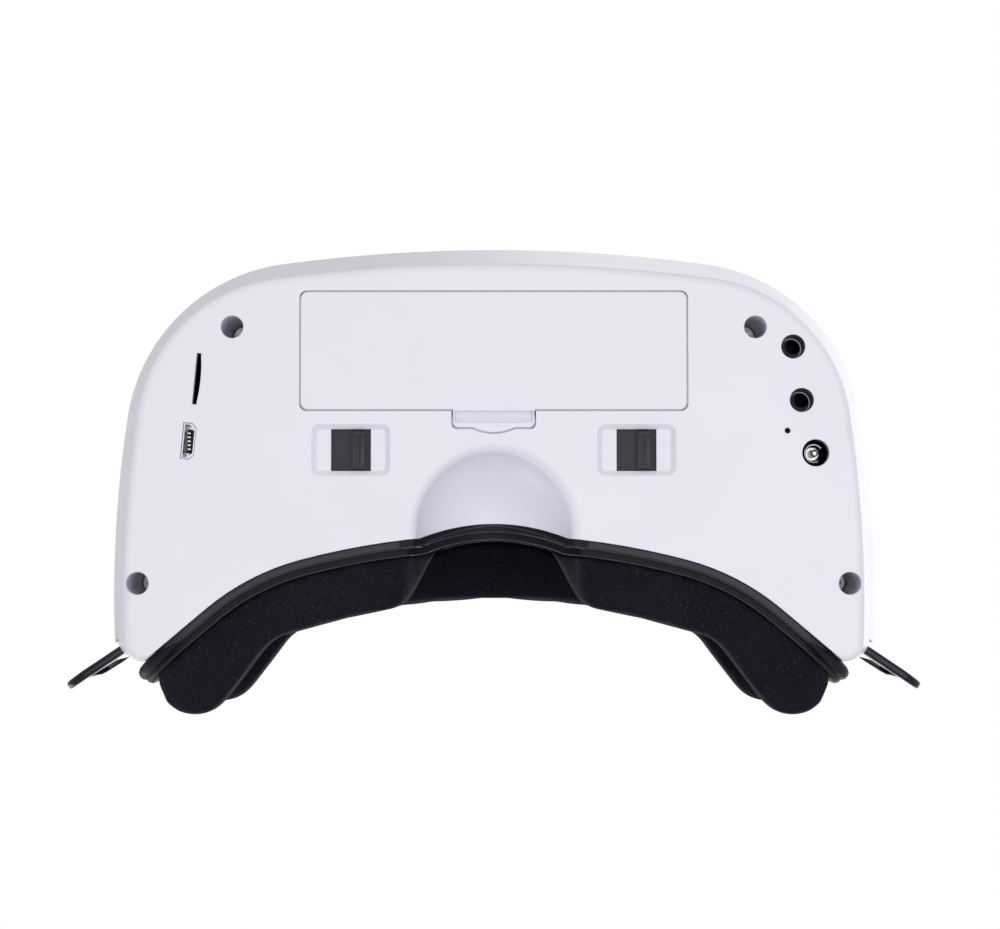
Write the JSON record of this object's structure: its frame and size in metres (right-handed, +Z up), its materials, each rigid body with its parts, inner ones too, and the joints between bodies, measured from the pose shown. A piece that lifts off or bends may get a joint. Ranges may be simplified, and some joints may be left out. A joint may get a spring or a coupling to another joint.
{
  "type": "fpv goggles",
  "caption": "Binocular goggles for flying a model aircraft, with a foam face pad, sliding eye optics, a battery door and strap loops.",
  "frame": {"origin": "middle of the bounding box seen from above, on the flat underside", "axes": "+Z up as worn, the front faces -Y, the face foam faces +Y, +X is the wearer's left"},
  "size_m": [0.2134, 0.1173, 0.091],
  "materials": {
    "white_shell": "smooth white moulding, semi-matt",
    "black_plastic": "fine texture",
    "grey_plastic": "plain",
    "foam_fleece": "black fleece over foam",
    "black_chrome": "dark polished",
    "steel": "plain",
    "brass": "plated",
    "lens_glass": "polished",
    "display_glass": "glossy",
    "circuit_board": "solder mask",
    "battery_wrap": "shrink wrap",
    "button_rubber": "matt"
  },
  "bodies": {
    "case": {"lower_shell": "white_shell", "upper_shell": "white_shell", "battery_bay": "grey_plastic", "battery_pack": "battery_wrap", "battery_contacts": "brass", "case_screws": "steel", "face_frame": "black_plastic", "eyepiece_plate": "black_plastic", "face_foam": "foam_fleece", "strap_pins": "steel", "guide_rods": "steel", "dc_jack": "black_plastic", "dc_jack_pin": "steel", "micro_usb_shell": "steel", "micro_usb_tongue": "black_plastic", "microsd_socket": "steel", "av_jack_front": "black_plastic", "av_jack_rear": "black_plastic", "left_port_board": "circuit_board", "right_port_board": "circuit_board", "main_board": "circuit_board", "receiver_module": "steel", "left_antenna_socket": "brass", "right_antenna_socket": "brass"},
    "battery_door": {"battery_door": "white_shell"},
    "left_optics": {"left_ipd_slider": "black_plastic", "left_lens_barrel": "black_plastic", "left_eye_lens": "lens_glass", "left_display_housing": "black_plastic", "left_display": "display_glass"},
    "left_strap_loop": {"left_strap_loop": "black_chrome"},
    "right_optics": {"right_ipd_slider": "black_plastic", "right_lens_barrel": "black_plastic", "right_eye_lens": "lens_glass", "right_display_housing": "black_plastic", "right_display": "display_glass"},
    "right_strap_loop": {"right_strap_loop": "black_chrome"},
    "channel_down_button": {"channel_down_button": "button_rubber"},
    "channel_up_button": {"channel_up_button": "button_rubber"},
    "menu_button": {"menu_button": "button_rubber"},
    "record_button": {"record_button": "button_rubber"},
    "pairing_button": {"pairing_button": "black_plastic"},
    "power_switch": {"power_switch": "black_plastic"}
  },
  "joints": [
    {"name": "battery_door_hinge", "type": "hinge", "parent": "case", "child": "battery_door", "pos_m": [0, -0.0439, 0], "axis": [-1, 0, 0], "range_deg": [0, 70]},
    {"name": "left_ipd_slide", "type": "slide", "parent": "case", "child": "left_optics", "axis": [1, 0, 0], "range_m": [-0.0047, 0.0012]},
    {"name": "right_ipd_slide", "type": "slide", "parent": "case", "child": "right_optics", "axis": [1, 0, 0], "range_m": [-0.0047, 0.0012]},
    {"name": "left_strap_swivel", "type": "hinge", "parent": "case", "child": "left_strap_loop", "pos_m": [0.0868, 0.0366, 0.041], "axis": [0, 0, 1], "range_deg": [-8, 8]},
    {"name": "right_strap_swivel", "type": "hinge", "parent": "case", "child": "right_strap_loop", "pos_m": [-0.0868, 0.0366, 0.041], "axis": [0, 0, -1], "range_deg": [-8, 8]},
    {"name": "channel_down_press", "type": "slide", "parent": "case", "child": "channel_down_button", "axis": [0, 0, -1], "range_m": [0, 0.0008], "stiffness_N_per_m": 500},
    {"name": "channel_up_press", "type": "slide", "parent": "case", "child": "channel_up_button", "axis": [0, 0, -1], "range_m": [0, 0.0008], "stiffness_N_per_m": 500},
    {"name": "menu_press", "type": "slide", "parent": "case", "child": "menu_button", "axis": [0, 0, -1], "range_m": [0, 0.0008], "stiffness_N_per_m": 500},
    {"name": "record_press", "type": "slide", "parent": "case", "child": "record_button", "axis": [0, 0, -1], "range_m": [0, 0.0008], "stiffness_N_per_m": 500},
    {"name": "pairing_press", "type": "slide", "parent": "case", "child": "pairing_button", "axis": [0, 0, 1], "range_m": [0, 0.0004], "stiffness_N_per_m": 500},
    {"name": "power_slide", "type": "slide", "parent": "case", "child": "power_switch", "axis": [1, 0, 0], "range_m": [0, 0.004]}
  ]
}
